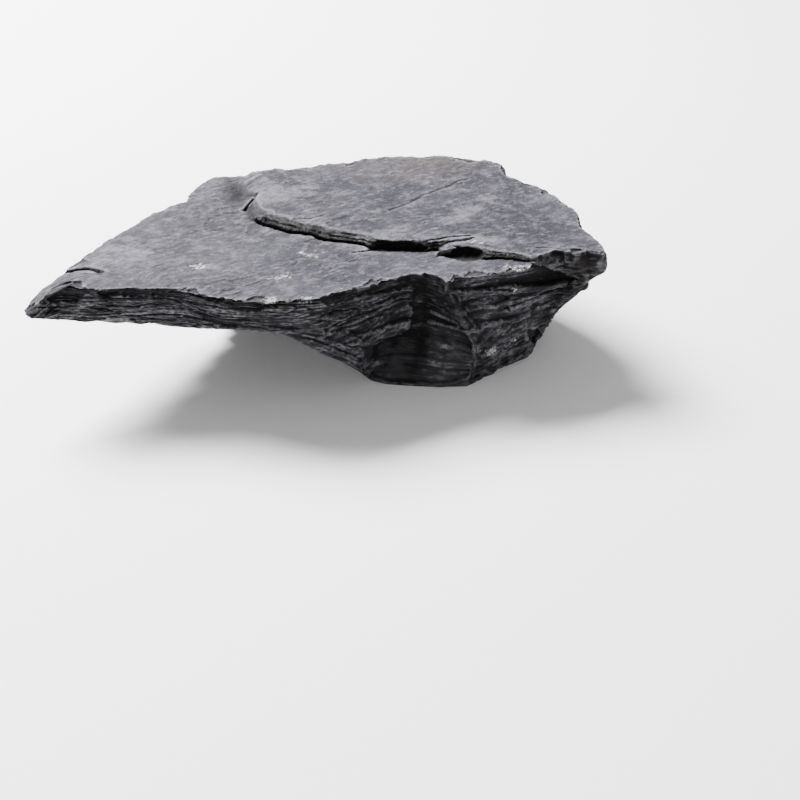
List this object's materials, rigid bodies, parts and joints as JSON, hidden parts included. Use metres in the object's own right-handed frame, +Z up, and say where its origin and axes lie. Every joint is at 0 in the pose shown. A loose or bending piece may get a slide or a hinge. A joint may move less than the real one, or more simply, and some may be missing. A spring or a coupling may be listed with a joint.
{
  "type": "slate slab",
  "caption": "Loose slab of dark grey slate with a cleaved top, a thin upper sheet, broken layered sides, a pointed overhanging end and a flat resting patch.",
  "frame": {"origin": "middle of the slab's extent in x and y, on the surface it rests on", "axes": "+Z up, square to the cleavage; +X along the slab to its blunt right end; +Y to the back"},
  "size_m": [0.1804, 0.1181, 0.0449],
  "materials": {
    "slate": "matte, with a faint silky sheen on the cleavage surface"
  },
  "bodies": {
    "root": {"slate_slab": "slate"}
  },
  "joints": []
}
